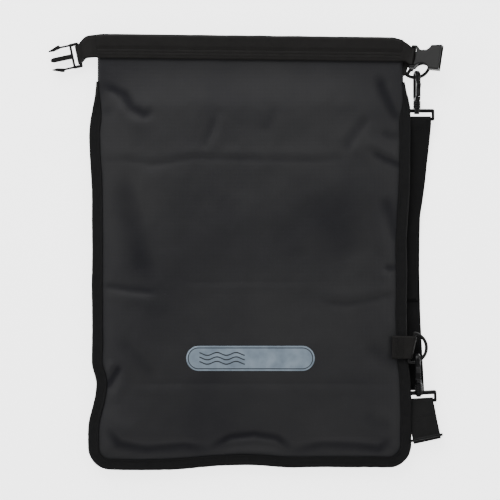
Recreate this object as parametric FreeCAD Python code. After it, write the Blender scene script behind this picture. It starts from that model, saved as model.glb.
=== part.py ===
import FreeCAD, Part
import math
import os

from FreeCAD import Placement, Rotation, Vector

# Roll-top dry bag lying on its back, millimetres.
# X is the bag's width, Y runs from the bottom hem to the mouth, Z is up. The origin is the middle of the
# flat back face.

os.makedirs("parts", exist_ok=True)

# Coated fabric body
FABRIC = 1.0  # laminated fabric, with its seam allowance
BODY_HALF = 168.0  # to the outside of the binding
BODY_BOTTOM = -229.0
CORNER_R = 23.0
SHOULDER_Y = 130.0
NECK_HALF = 162.0
NECK_Y = 205.0  # where the two panel slopes would run out
BODY_TOP_Z = 25.0
SEAM_Z = 10.6
CROWN_HALF, CROWN_BOTTOM, CROWN_SHOULDER, CROWN_TOP = 105.0, -190.0, 40.0, 80.0
FLOOR_HALF, FLOOR_BOTTOM, FLOOR_SHOULDER, FLOOR_TOP = 136.0, -207.0, 120.0, 172.0
BINDING_W = 3.6
BINDING_H = 2.2
BINDING_END_Y = 181.0
TAPE_W = 8.0

# Mouth and collar
FOLD_Y = 187.0
COLLAR_LEFT, COLLAR_RIGHT = -161.0, 159.0
COLLAR_W = 25.0
COLLAR_Y = 204.0
COLLAR_SLOPE = -0.0122
MOUTH_LOW_Z, MOUTH_HIGH_Z = 5.4, 11.7  # inner faces of the mouth
STIFFENER_W = 20.0
STIFFENER_T = 0.8

# Webbing
WEB = 1.1  # thickness
WEB_STRAP = 30.0
WEB_LOOP = 25.0
WEB_TAB = 20.0
SNUG = 0.22  # between webbing and what it goes round

# Side-release buckle for 20 mm webbing
MALE_AT = Vector(-181.9, 209.5, 6.0)
MALE_YAW = 192.0
BAR_R = 1.3
MALE_T = 4.4
FEMALE_AT = Vector(171.5, 206.5, 15.0)
FEMALE_YAW, FEMALE_RISE, FEMALE_ROLL = -3.0, 24.0, -15.0
FEMALE_T = 8.0
FEMALE_LEN = 32.5
CAVITY_H = 4.8

# D-rings
RING_R = 15.6
RING_WIRE_R = 1.8
TOP_RING_AT = Vector(175.0, 200.9, 7.0)
TOP_RING_TURN = -35.0
LOW_RING_AT = Vector(171.0, -101.5, 13.9)
LOW_RING_TURN = -12.0

# Swivel snap hooks, along their own +Y from the base's top bar
BASE_HALF = 18.75
BASE_LEN = 12.6
BASE_T = 4.0
BASE_BAR = 4.0
BASE_SLOT = 5.3
BASE_BAR_HALF = (BASE_LEN - BASE_BAR - BASE_SLOT) / 2  # of the bar that the webbing goes round
BASE_RAIL = 3.0
BASE_BAR_Z = 1.0
STEM_R = 2.0
STEM_HEAD_R = 3.2
NECK_LEN = 8.5
NECK_R = 4.2
HOOK_LEN = 40.5
HOOK_HALF = 6.3
EYE_HALF = 3.1
HOOK_T = 5.6
GATE_LOW, GATE_HIGH = 13.0, 28.5
TOP_HOOK_AT = Vector(176.8, 152.3, 7.0)
TOP_HOOK_YAW, TOP_HOOK_RISE, TOP_HOOK_ROLL = 0.0, 0.0, -75.0
LOW_HOOK_AT = Vector(178.9, -147.6, 7.3)
LOW_HOOK_YAW, LOW_HOOK_RISE, LOW_HOOK_ROLL = 3.0, 11.0, -90.0
BASE_DROP = 0.9  # the base bar lies this much below the stem's axis

# Strap adjuster, standing on its long edge
ADJUSTER_AT = Vector(187.2, -197.5, 8.2)
ADJUSTER_YAW = 11.7
ADJUSTER_LEAN = 8.0
ADJUSTER_HALF = 17.3
ADJUSTER_RAIL = 2.0
ADJUSTER_T = 2.4
ADJUSTER_BAR = 2.4
ADJUSTER_SLOT = 4.2

# Reflective mark on the front
MARK_AT = Vector(0.0, -112.4, 0.0)
MARK_HALF, MARK_R = 68.0, 13.2
MARK_T = 0.3


def export(name, solid):
    """Write one sub-part, and stop if it isn't a sound solid."""
    if not solid.isValid() or solid.Volume <= 0:
        raise ValueError(name + " is not a sound solid")
    solid.exportStep("parts/" + name + ".step")
    box = solid.BoundBox
    print(f"{name:24s} {solid.Volume / 1000:8.3f} cm3  z {box.ZMin:6.2f} {box.ZMax:6.2f}")


def block(x0, x1, y0, y1, z0, z1):
    return Part.makeBox(x1 - x0, y1 - y0, z1 - z0, Vector(x0, y0, z0))


def plate(points, z0, z1):
    """Upright prism on a closed polygon of (x, y) points."""
    loop = [Vector(x, y, z0) for x, y in points]
    face = Part.Face(Part.makePolygon(loop + loop[:1]))
    return face.extrude(Vector(0, 0, z1 - z0))


def stadium(half_x, low_y, high_y, z0, z1):
    """Plate with two round ends, long along Y."""
    left, right = Vector(-half_x, low_y + half_x, z0), Vector(half_x, low_y + half_x, z0)
    up = Vector(0, high_y - low_y - 2 * half_x, 0)
    bottom = Part.Arc(left, Vector(0, low_y, z0), right).toShape()
    side = Part.makeLine(right, right + up)
    top = Part.Arc(right + up, Vector(0, high_y, z0), left + up).toShape()
    back = Part.makeLine(left + up, left)
    return Part.Face(Part.Wire([bottom, side, top, back])).extrude(Vector(0, 0, z1 - z0))


def at(solid, origin, yaw=0.0, rise=0.0, roll=0.0):
    """A copy of a solid, rolled about its own X, tipped up along X, turned about Z and moved."""
    copy = solid.copy()
    copy.Placement = Placement(origin, Rotation(yaw, -rise, roll)).multiply(copy.Placement)
    return copy


def ribbon(stations, width):
    """Webbing of one thickness through a list of (centre, across) stations."""
    loops = []
    for i, (centre, across) in enumerate(stations):
        before, after = stations[max(i - 1, 0)][0], stations[min(i + 1, len(stations) - 1)][0]
        side = Vector(across).normalize()
        normal = (after - before).cross(side).normalize() * (WEB / 2)
        side = side * (width / 2)
        corners = [centre - side - normal, centre + side - normal]
        corners += [centre + side + normal, centre - side + normal]
        loops.append(Part.makePolygon(corners + corners[:1]))
    return Part.makeLoft(loops, True, True)


def around(centre, across, start, turn, radius, steps=8):
    """Stations round a bar: start is the first direction out from the bar, turn is the signed angle."""
    axis = Vector(across).normalize()
    spots = []
    for i in range(steps + 1):
        out = Rotation(axis, turn * i / steps).multVec(Vector(start).normalize())
        spots.append((centre + out * radius, across))
    return spots


# Bag body


def outline(half, bottom, shoulder, neck_half, top, radius, z):
    """Closed outline of the bag at one height: round lower corners and shoulders that narrow to the neck."""
    near = radius * (1 - math.sqrt(0.5))
    corner = {side: Vector(side * (half - near), bottom + near, z) for side in (-1, 1)}
    foot = {side: Vector(side * (half - radius), bottom, z) for side in (-1, 1)}
    heel = {side: Vector(side * half, bottom + radius, z) for side in (-1, 1)}
    spots = [heel[1], Vector(half, shoulder, z), Vector(neck_half, top, z)]
    spots += [Vector(-neck_half, top, z), Vector(-half, shoulder, z), heel[-1]]
    sides = [Part.makeLine(a, b) for a, b in zip(spots, spots[1:])]
    right = Part.Arc(foot[1], corner[1], heel[1]).toShape()
    left = Part.Arc(heel[-1], corner[-1], foot[-1]).toShape()
    return Part.Wire([Part.makeLine(foot[-1], foot[1]), right] + sides + [left])


def rim(inset, z):
    return outline(
        BODY_HALF - inset, BODY_BOTTOM + inset, SHOULDER_Y, NECK_HALF - inset, NECK_Y, CORNER_R - inset, z
    )


def below_fold(solid, end_y=FOLD_Y):
    return solid.common(block(-300, 300, -300, end_y, -50, 80))


def front_panel():
    """Domed upper panel, hollow underneath and open at the neck."""
    low = rim(BINDING_W + 0.2, SEAM_Z + 0.2)
    crown = outline(
        CROWN_HALF, CROWN_BOTTOM, CROWN_SHOULDER, CROWN_HALF - 4, CROWN_TOP, CORNER_R, BODY_TOP_Z
    )
    dome = Part.makeLoft([low, crown], True, True)
    hollow = dome.copy()
    hollow.translate(Vector(0, 0, -FABRIC))
    return below_fold(dome.cut(hollow))


def back_panel():
    """Lower panel: flat on the ground in the middle, turned up to the seam all round but the neck."""
    ground = outline(
        FLOOR_HALF, FLOOR_BOTTOM, FLOOR_SHOULDER, FLOOR_HALF - 4, FLOOR_TOP, CORNER_R, 0.0
    )
    high = rim(BINDING_W + 0.2, SEAM_Z - 0.2)
    tray = Part.makeLoft([ground, high], True, True)
    hollow = tray.copy()
    hollow.translate(Vector(0, 0, FABRIC))
    return below_fold(tray.cut(hollow))


def flat_band(outer, inner, z0, z1, end_y):
    """Flat band that follows the bag's outline between two insets, open at the neck."""
    out = Part.Face(rim(outer, z0)).extrude(Vector(0, 0, z1 - z0))
    hole = Part.Face(rim(inner, z0)).extrude(Vector(0, 0, z1 - z0))
    hole = hole.fuse(block(inner - NECK_HALF + 8, NECK_HALF - 8 - inner, 150, 250, z0, z1))
    return below_fold(out.cut(hole), end_y)


def edge_binding():
    half = BINDING_H / 2
    return flat_band(0.0, BINDING_W, SEAM_Z - half, SEAM_Z + half, BINDING_END_Y)


def seam_tape():
    return flat_band(BINDING_W + 0.3, BINDING_W + TAPE_W, SEAM_Z - 0.12, SEAM_Z + 0.12, FOLD_Y - 1)


def reflective_mark():
    """Long film patch with two round ends."""
    film = stadium(MARK_R, -MARK_HALF, MARK_HALF, 0, MARK_T)
    return at(film, MARK_AT + Vector(0, 0, BODY_TOP_Z + 0.03), yaw=90)


# Collar


def collar_strip(width, lift, z0, thickness, inset=0.0):
    """Strip along the mouth, following the collar's slight slope."""
    points = []
    for x, y in (
        (COLLAR_LEFT + inset, lift),
        (COLLAR_RIGHT - inset, lift),
        (COLLAR_RIGHT - inset, lift + width),
        (COLLAR_LEFT + inset, lift + width),
    ):
        points.append((x, COLLAR_Y + COLLAR_SLOPE * x + y))
    return plate(points, z0, z0 + thickness)


def neck(z0, thickness):
    """The stretch of panel between the first fold and the top of the collar."""
    high = [COLLAR_Y + COLLAR_W - 1 + COLLAR_SLOPE * x for x in (COLLAR_RIGHT, COLLAR_LEFT)]
    points = [
        (COLLAR_LEFT, FOLD_Y + 0.3),
        (COLLAR_RIGHT, FOLD_Y + 0.3),
        (COLLAR_RIGHT, high[0]),
        (COLLAR_LEFT, high[1]),
    ]
    return plate(points, z0, z0 + thickness)


def collar():
    """The flat layers of the mouth, from the ground up, as named nodes."""
    skin = 0.8
    low = MOUTH_LOW_Z - skin
    high = MOUTH_HIGH_Z + skin + 0.05
    return {
        "collar_band_back": collar_strip(COLLAR_W, 0.8, low - 0.05 - WEB, WEB),
        "neck_back": neck(low, skin),
        "neck_front": neck(MOUTH_HIGH_Z, skin),
        "collar_stiffener": collar_strip(STIFFENER_W, 2.5, high, STIFFENER_T, inset=4.0),
        "collar_band_front": collar_strip(COLLAR_W, 0.0, high + STIFFENER_T + 0.05, WEB),
    }


# Buckle


def male_tab():
    """Webbing from the collar's left end, round the buckle's bar and back under itself."""
    loop_r = BAR_R * math.sqrt(2) + SNUG + WEB / 2
    turn = Rotation(MALE_YAW, 0, 0)
    across = turn.multVec(Vector(0, 1, 0))
    bend = around(MALE_AT, across, Vector(0, 0, 1), 180, loop_r)
    end_y = COLLAR_Y + COLLAR_W / 2 - COLLAR_SLOPE * 162
    first = (Vector(COLLAR_LEFT - 0.4, end_y, 12.6), Vector(0, -1, 0))
    last = (Vector(COLLAR_LEFT - 0.4, end_y - 1, 6.0), Vector(0, -1, 0))
    return ribbon([first] + bend + [last], WEB_TAB)


def male_buckle():
    """Slotted frame with a centre tongue."""
    half = MALE_T / 2
    body = block(-BAR_R, 8.8, -13.5, 13.5, -half, half)
    body = body.cut(block(BAR_R, 6.3, -10.4, 10.4, -half, half))
    thin = block(-BAR_R, BAR_R, -10.4, 10.4, BAR_R, half)
    body = body.cut(thin).cut(thin.mirror(Vector(), Vector(0, 0, 1)))
    tongue = plate([(8.0, -2.6), (28, -2.6), (31, -1.4), (31, 1.4), (28, 2.6), (8.0, 2.6)], -1.6, 1.6)
    body = body.fuse(tongue).removeSplitter()
    corners = [e for e in body.Edges if e.Length > MALE_T - 0.1 and abs(e.tangentAt(0).z) > 0.99]
    outer = [e for e in corners if abs(e.CenterOfMass.y) > 13]
    return at(body.makeFillet(1.2, outer), MALE_AT, MALE_YAW)


def buckle_arm(side):
    """Spring arm with its barbed head, on one side of the buckle."""
    shape = [(9.1, 10.7), (9.1, 12.9), (18.5, 12.9), (18.8, 14.6), (21.5, 14.3), (31.5, 10.4)]
    shape += [(31.5, 9.4), (26.0, 9.0), (20.5, 10.2), (18.0, 10.9)]
    arm = plate([(x, side * y) for x, y in shape], -1.9, 1.9)
    return at(arm, MALE_AT, MALE_YAW)


def female_tab():
    """Webbing from the collar's right end, round the female buckle's bar and back under itself."""
    loop_r = BAR_R * math.sqrt(2) + SNUG + WEB / 2
    turn = Rotation(FEMALE_YAW, -FEMALE_RISE, FEMALE_ROLL)
    across = turn.multVec(Vector(0, -1, 0))
    up = turn.multVec(Vector(0, 0, 1))
    bend = around(FEMALE_AT, across, up, -180, loop_r)
    end_y = COLLAR_Y + COLLAR_W / 2 + COLLAR_SLOPE * 160 - 2
    first = (Vector(COLLAR_RIGHT + 0.6, end_y, 14.0), Vector(0, -1, 0))
    last = (Vector(COLLAR_RIGHT + 3.0, end_y - 2, 11.4), Vector(0, -1, 0))
    return ribbon([first] + bend + [last], WEB_TAB - 1)


def female_buckle():
    """Waisted housing, open at the mouth and at both sides of the waist, with a slot for its webbing."""
    half = FEMALE_T / 2
    side = [Vector(-BAR_R, -12.6, 0), Vector(4.5, -12.6, 0)]
    waist = Part.Arc(Vector(4.5, -12.6, 0), Vector(12.5, -7.4, 0), Vector(20.5, -13.2, 0))
    edges = [Part.makeLine(side[0], side[1]), waist.toShape()]
    edges.append(Part.makeLine(Vector(20.5, -13.2, 0), Vector(FEMALE_LEN, -14.0, 0)))
    edges.append(Part.makeLine(Vector(FEMALE_LEN, -14.0, 0), Vector(FEMALE_LEN, 14.0, 0)))
    edges.append(Part.makeLine(Vector(FEMALE_LEN, 14.0, 0), Vector(20.5, 13.2, 0)))
    other = Part.Arc(Vector(20.5, 13.2, 0), Vector(12.5, 7.4, 0), Vector(4.5, 12.6, 0))
    edges.append(other.toShape())
    edges.append(Part.makeLine(Vector(4.5, 12.6, 0), Vector(-BAR_R, 12.6, 0)))
    edges.append(Part.makeLine(Vector(-BAR_R, 12.6, 0), Vector(-BAR_R, -12.6, 0)))
    body = Part.Face(Part.Wire(edges)).extrude(Vector(0, 0, FEMALE_T))
    body.translate(Vector(0, 0, -half))
    rims = [e for e in body.Edges if abs(abs(e.CenterOfMass.z) - half) < 0.01]
    body = body.makeFillet(1.1, rims)
    tall = CAVITY_H / 2
    body = body.cut(block(8.0, FEMALE_LEN + 1, -11.6, 11.6, -tall, tall))
    body = body.cut(block(8.0, 18.0, -20, 20, -tall, tall))
    body = body.cut(block(BAR_R, 5.0, -10.4, 10.4, -half, half))
    for z0, z1 in ((BAR_R, half), (-half, -BAR_R)):
        body = body.cut(block(-BAR_R - 1, BAR_R, -10.4, 10.4, z0, z1))
    return at(body, FEMALE_AT, FEMALE_YAW, FEMALE_RISE, FEMALE_ROLL)


# D-rings


def d_ring():
    """Half-round bow on a straight bar along Y, lying flat."""
    bow = Part.makeTorus(RING_R, RING_WIRE_R, Vector(), Vector(0, 0, 1), 0, 360, 180)
    bow.rotate(Vector(), Vector(0, 0, 1), -90)
    bar = Part.makeCylinder(RING_WIRE_R, 2 * RING_R, Vector(0, -RING_R, 0), Vector(0, 1, 0))
    ring = bow.fuse(bar)
    for y in (-RING_R, RING_R):
        ring = ring.fuse(Part.makeSphere(RING_WIRE_R, Vector(0, y, 0)))
    return ring


def top_ring_tab():
    """Webbing from the side seam at the neck to the ring's bar, folded round it."""
    loop_r = RING_WIRE_R + SNUG + WEB / 2
    turn = Rotation(TOP_RING_TURN, 0, 0)
    across = turn.multVec(Vector(0, -1, 0))
    bend = around(TOP_RING_AT, across, Vector(0, 0, 1), -170, loop_r)
    seam = (Vector(NECK_HALF + 0.2, 196.0, 9.2), Vector(0, -1, 0))
    middle = (TOP_RING_AT + turn.multVec(Vector(-6.5, 0, 2.3)), Vector(-0.3, -1, 0))
    return ribbon([seam, middle] + bend, WEB_TAB - 1)


def lower_ring_loop():
    """Webbing sewn over the side seam, folded round the lower ring's bar."""
    loop_r = RING_WIRE_R + SNUG + WEB / 2
    turn = Rotation(LOW_RING_TURN, 0, 0)
    across = turn.multVec(Vector(0, -1, 0))
    bend = around(LOW_RING_AT, across, Vector(0, 0, 1), -180, loop_r)
    sewn = (Vector(149.6, -101.0, 15.5), Vector(0, -1, 0))
    return ribbon([sewn] + bend, WEB_LOOP - 0.5)


# Swivel snap hooks


def hook_base():
    """Rectangular slotted base that carries the webbing and holds the stem."""
    half = BASE_T / 2
    low = -0.3 - BASE_LEN
    body = block(-BASE_HALF, BASE_HALF, low, -0.3, -half, half)
    edges = [e for e in body.Edges if abs(e.tangentAt(0).z) > 0.99]
    body = body.makeFillet(2.0, edges)
    slot_low = -0.3 - BASE_BAR - BASE_SLOT
    inner = BASE_HALF - BASE_RAIL
    body = body.cut(block(-inner, inner, slot_low, -0.3 - BASE_BAR, -half, half))
    for z0, z1 in ((BASE_BAR_Z, half), (-half, -BASE_BAR_Z)):
        body = body.cut(block(-inner, inner, low - 1, slot_low, z0, z1))
    boss = Part.makeCylinder(NECK_R, BASE_BAR, Vector(0, -0.3, BASE_DROP), Vector(0, -1, 0))
    bore = Part.makeCylinder(STEM_R + 0.1, 12, Vector(0, 2, BASE_DROP), Vector(0, -1, 0))
    return at(body.fuse(boss).cut(bore), Vector(0, 0, -BASE_DROP))


def hook_body():
    """Eye, ribbed neck and headed stem in one piece, with the gate's side left open."""
    half = HOOK_T / 2
    eye = stadium(HOOK_HALF, NECK_LEN - 1.5, HOOK_LEN, -half, half)
    rims = [e for e in eye.Edges if abs(abs(e.CenterOfMass.z) - half) < 0.01]
    eye = eye.makeFillet(1.8, rims)
    eye = eye.cut(stadium(EYE_HALF, NECK_LEN + 2.5, HOOK_LEN - 3.3, -half, half))
    eye = eye.cut(block(EYE_HALF - 0.4, HOOK_HALF + 1, GATE_LOW - 0.4, GATE_HIGH + 0.3, -half, half))
    eye = eye.cut(block(0, EYE_HALF + 0.3, GATE_LOW - 0.4, GATE_HIGH + 0.3, -half, half))
    neck_part = Part.makeCylinder(NECK_R - 0.7, NECK_LEN, Vector(), Vector(0, 1, 0))
    pitch = NECK_LEN / 4
    for i in range(4):
        rib = Part.makeCylinder(NECK_R, pitch * 0.6, Vector(0, i * pitch, 0), Vector(0, 1, 0))
        neck_part = neck_part.fuse(rib)
    stem = Part.makeCylinder(STEM_R, BASE_BAR + 0.8, Vector(0, 0.5, 0), Vector(0, -1, 0))
    head = Part.makeCylinder(STEM_HEAD_R, 1.4, Vector(0, -0.3 - BASE_BAR - 0.2, 0), Vector(0, -1, 0))
    head = head.common(block(-9, 9, -20, 9, -BASE_T / 2, BASE_T))
    return eye.fuse(neck_part).fuse(stem).fuse(head).removeSplitter()


def hook_gate():
    """Sprung gate with a thumb tab, closing the open side of the eye."""
    half = HOOK_T / 2 - 0.4
    gate = block(EYE_HALF + 0.1, HOOK_HALF - 0.3, GATE_LOW, GATE_HIGH, -half, half)
    tab = [(HOOK_HALF - 1, GATE_HIGH - 9), (HOOK_HALF + 1.8, GATE_HIGH - 3), (HOOK_HALF - 1, GATE_HIGH - 1)]
    gate = gate.fuse(plate(tab, -half, half))
    hub = Part.makeCylinder(1.7, 2 * half, Vector(4.6, GATE_LOW + 1.6, -half), Vector(0, 0, 1))
    return gate.fuse(hub).removeSplitter()


HOOK_SPOTS = {
    "upper": (TOP_HOOK_AT, TOP_HOOK_YAW, TOP_HOOK_RISE, TOP_HOOK_ROLL),
    "lower": (LOW_HOOK_AT, LOW_HOOK_YAW, LOW_HOOK_RISE, LOW_HOOK_ROLL),
}


def hook_axis(which):
    """Where a hook's base lies: its origin and the turn that points +Y along the stem."""
    origin, yaw, rise, _ = HOOK_SPOTS[which]
    return Placement(origin, Rotation(Vector(0, 0, 1), yaw).multiply(Rotation(Vector(1, 0, 0), rise)))


def hook_place(solid, which, rolled=True):
    """Put a piece made along +Y at the origin on its hook's axis, and roll it about that axis."""
    roll = Placement(Vector(), Rotation(Vector(0, 1, 0), HOOK_SPOTS[which][3] if rolled else 0))
    copy = solid.copy()
    copy.Placement = hook_axis(which).multiply(roll).multiply(copy.Placement)
    return copy


# Strap and adjuster


def adjuster():
    """Three-bar slide: two slots either side of a centre bar, made flat along X and stood on edge."""
    tall = 2 * ADJUSTER_SLOT + 3 * ADJUSTER_BAR
    body = block(-ADJUSTER_HALF, ADJUSTER_HALF, -tall / 2, tall / 2, -ADJUSTER_T / 2, ADJUSTER_T / 2)
    edges = [e for e in body.Edges if abs(e.tangentAt(0).z) > 0.99]
    body = body.makeFillet(1.6, edges)
    inner = ADJUSTER_HALF - ADJUSTER_RAIL
    for side in (-1, 1):
        middle = side * (ADJUSTER_BAR + ADJUSTER_SLOT) / 2
        reach = ADJUSTER_SLOT / 2
        slot = block(-inner, inner, middle - reach, middle + reach, -ADJUSTER_T, ADJUSTER_T)
        body = body.cut(slot)
    return at(body, ADJUSTER_AT, ADJUSTER_YAW, 0, 90 - ADJUSTER_LEAN)


def base_wrap(which):
    """Stations of the webbing round a base's bar, from underneath, through the slot, to the top."""
    place = hook_axis(which)
    middle = Vector(0, -0.3 - BASE_BAR - BASE_SLOT - BASE_BAR_HALF, -BASE_DROP)
    along = place.Rotation.multVec(Vector(1, 0, 0))
    down = place.Rotation.multVec(Vector(0, 0, -1))
    radius = math.hypot(BASE_BAR_HALF, BASE_BAR_Z) + SNUG + WEB / 2
    bar = place.multVec(middle)
    end = (place.multVec(middle + Vector(0, -6.0, -radius)), along)
    return end, around(bar, along, down, 180, radius)


def strap_runs():
    """The one shoulder webbing, as four flat runs laid under the bag's right edge in zigzag folds."""
    flat = Vector(1, 0, 0)
    low, mid, high = (0.15 + WEB / 2 + i * (WEB + 0.2) for i in range(3))
    end, wrap = base_wrap("upper")
    upper = [end] + wrap + [
        (Vector(177.0, 128.0, high + 1.4), flat),
        (Vector(174.6, 108.0, high), flat),
        (Vector(169.8, 66.0, high), flat),
        (Vector(163.4, 23.0, high), flat),
        (Vector(163.4, -48.0, high), flat),
    ]
    middle = [
        (Vector(163.4, -48.0, mid), flat),
        (Vector(164.0, 20.0, mid), flat),
        (Vector(168.0, 108.0, mid), flat),
    ]
    lower = [
        (Vector(168.0, 108.0, low), flat),
        (Vector(164.6, 0.0, low), flat),
        (Vector(165.6, -52.0, low), flat),
        (Vector(166.0, -72.0, mid), flat),
        (Vector(169.8, -145.0, mid), flat),
    ]
    tucked = [
        (Vector(169.8, -145.0, low), flat),
        (Vector(167.0, -98.0, low), flat),
    ]
    return upper, middle, lower, tucked


def strap_end():
    """Sewn loop from the lower hook's base to the adjuster's centre bar."""
    end, wrap = base_wrap("lower")
    far = Rotation(ADJUSTER_YAW, 0, 0).multVec(Vector(1, 0, 0))
    thick = math.hypot(ADJUSTER_BAR, ADJUSTER_T) / 2 + SNUG + WEB / 2
    turn = around(ADJUSTER_AT, far, Vector(0, 0, 1), 180, thick)
    return wrap + turn + [end]


def main():
    export("front_panel", front_panel())
    export("back_panel", back_panel())
    export("edge_binding", edge_binding())
    export("seam_tape", seam_tape())
    export("reflective_mark", reflective_mark())
    for name, solid in collar().items():
        export(name, solid)
    export("male_tab", male_tab())
    export("male_buckle", male_buckle())
    export("buckle_arm_lower", buckle_arm(1))
    export("buckle_arm_upper", buckle_arm(-1))
    export("female_tab", female_tab())
    export("female_buckle", female_buckle())
    export("top_ring_tab", top_ring_tab())
    export("top_ring", at(d_ring(), TOP_RING_AT, TOP_RING_TURN))
    export("lower_ring_loop", lower_ring_loop())
    export("lower_ring", at(d_ring(), LOW_RING_AT, LOW_RING_TURN))
    for which in HOOK_SPOTS:
        export(which + "_hook_base", hook_place(hook_base(), which, rolled=False))
        export(which + "_hook", hook_place(hook_body(), which))
        export(which + "_hook_gate", hook_place(hook_gate(), which))
    upper, middle, lower, tucked = strap_runs()
    export("strap_upper_run", ribbon(upper, WEB_STRAP))
    export("strap_middle_run", ribbon(middle, WEB_STRAP))
    export("strap_lower_run", ribbon(lower, WEB_STRAP))
    export("strap_tucked_run", ribbon(tucked, WEB_STRAP))
    export("strap_end_loop", ribbon(strap_end(), WEB_STRAP - 0.5))
    export("adjuster", adjuster())


main()
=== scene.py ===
import bmesh
import bpy
import math
from mathutils import Matrix, Vector, noise


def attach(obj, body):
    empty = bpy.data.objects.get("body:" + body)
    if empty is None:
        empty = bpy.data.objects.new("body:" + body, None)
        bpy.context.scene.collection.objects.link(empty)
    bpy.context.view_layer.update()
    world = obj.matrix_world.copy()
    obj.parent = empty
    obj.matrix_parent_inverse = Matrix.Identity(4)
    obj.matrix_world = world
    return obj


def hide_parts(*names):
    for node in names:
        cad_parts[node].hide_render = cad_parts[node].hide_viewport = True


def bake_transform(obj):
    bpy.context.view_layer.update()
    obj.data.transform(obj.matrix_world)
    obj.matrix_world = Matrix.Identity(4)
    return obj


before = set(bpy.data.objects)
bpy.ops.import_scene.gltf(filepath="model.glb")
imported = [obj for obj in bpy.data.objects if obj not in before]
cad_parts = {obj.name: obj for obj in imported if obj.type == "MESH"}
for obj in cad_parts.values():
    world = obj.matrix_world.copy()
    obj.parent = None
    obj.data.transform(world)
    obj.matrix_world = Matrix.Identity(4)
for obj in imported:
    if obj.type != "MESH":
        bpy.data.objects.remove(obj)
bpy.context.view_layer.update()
scene = bpy.context.scene

# Studio. The bag lies on its back on a pale seamless sheet, under a strong soft box beyond its mouth and
# three weaker ones at the sides and the foot, and the camera looks straight down from a long way off.
VIEW_W = 0.5325
VIEW_CENTRE = Vector((-0.0005, 0.0021, 0.0))
CAMERA_UP = 3.2
SENSOR = 36.0
BAG_MIDDLE = (0, 0, 0)
FLOOR_HALF, FLOOR_DROP, FLOOR_GLOW = 3.0, 0.0006, 2.8

camera = bpy.data.objects.new("camera", bpy.data.cameras.new("camera"))
scene.collection.objects.link(camera)
camera.location = VIEW_CENTRE + Vector((0, 0, CAMERA_UP))
camera.data.sensor_width = SENSOR
camera.data.lens = SENSOR * CAMERA_UP / VIEW_W
camera.data.clip_end = 20.0
scene.camera = camera


def soft_box(name, place, aim, size, power):
    """A square area light at a place, turned towards a point."""
    lamp = bpy.data.lights.new(name, "AREA")
    lamp.size = size
    lamp.energy = power
    lit = bpy.data.objects.new(name, lamp)
    lit.location = place
    lit.rotation_euler = (Vector(aim) - Vector(place)).to_track_quat("-Z", "Y").to_euler()
    scene.collection.objects.link(lit)
    return lit


soft_box("key_light", (-0.5, 1.7, 1.3), BAG_MIDDLE, 1.7, 55)
soft_box("fill_light", (1.7, 0.3, 1.4), BAG_MIDDLE, 1.4, 13)
soft_box("side_light", (-1.7, 0.3, 1.4), BAG_MIDDLE, 1.4, 13)
soft_box("low_light", (0.1, -1.7, 1.2), BAG_MIDDLE, 1.4, 12)

world = bpy.data.worlds.new("studio")
scene.world = world
world.use_nodes = True
backdrop = world.node_tree.nodes["Background"]
backdrop.inputs["Color"].default_value = (1.0, 1.0, 1.0, 1.0)
backdrop.inputs["Strength"].default_value = 0.4


def linear(code):
    """A hex sRGB colour as linear RGBA."""
    parts = [int(code[i:i + 2], 16) / 255 for i in (1, 3, 5)]
    return [c / 12.92 if c <= 0.04045 else ((c + 0.055) / 1.055) ** 2.4 for c in parts] + [1.0]


def add(tree, kind, settings=None, **inputs):
    """Adds a node, sets its properties, and fills or links its inputs: Some_Name by name, _0 by number."""
    made = tree.nodes.new(kind)
    for key, value in (settings or {}).items():
        setattr(made, key, value)
    for key, value in inputs.items():
        socket = made.inputs[int(key[1:])] if key[1:].isdigit() else made.inputs[key.replace("_", " ")]
        if isinstance(value, bpy.types.NodeSocket):
            tree.links.new(value, socket)
        else:
            socket.default_value = value
    return made


def material(name, **shader):
    """A material with the shader's given inputs set, its node tree and its shader."""
    made = bpy.data.materials.new(name)
    made.use_nodes = True
    tree = made.node_tree
    main = tree.nodes["Principled BSDF"]
    for key, value in shader.items():
        main.inputs[key.replace("_", " ")].default_value = value
    return made, tree, main


def finish_mesh(bm, name, surface):
    """Turns a bmesh into a linked object with one material and smooth faces."""
    mesh = bpy.data.meshes.new(name)
    bm.to_mesh(mesh)
    bm.free()
    mesh.materials.append(surface)
    mesh.polygons.foreach_set("use_smooth", [True] * len(mesh.polygons))
    made = bpy.data.objects.new(name, mesh)
    scene.collection.objects.link(made)
    return made


# Matt white paper, lit through from behind as well so that it stays near white, with a faint tooth.
paper, tree, main = material("seamless_paper")
main.inputs["Base Color"].default_value = linear("#f4f4f4")
main.inputs["Emission Color"].default_value = linear("#ffffff")
main.inputs["Emission Strength"].default_value = FLOOR_GLOW
grain = add(tree, "ShaderNodeTexNoise", Scale=90.0, Detail=3.0)
ramp = add(tree, "ShaderNodeMapRange", Value=grain.outputs["Fac"], To_Min=0.86, To_Max=0.94)
tree.links.new(ramp.outputs["Result"], main.inputs["Roughness"])

bm = bmesh.new()
bmesh.ops.create_grid(bm, x_segments=2, y_segments=2, size=FLOOR_HALF)
bmesh.ops.translate(bm, verts=bm.verts, vec=(0, 0, -FLOOR_DROP))
floor = finish_mesh(bm, "floor", paper)

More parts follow.
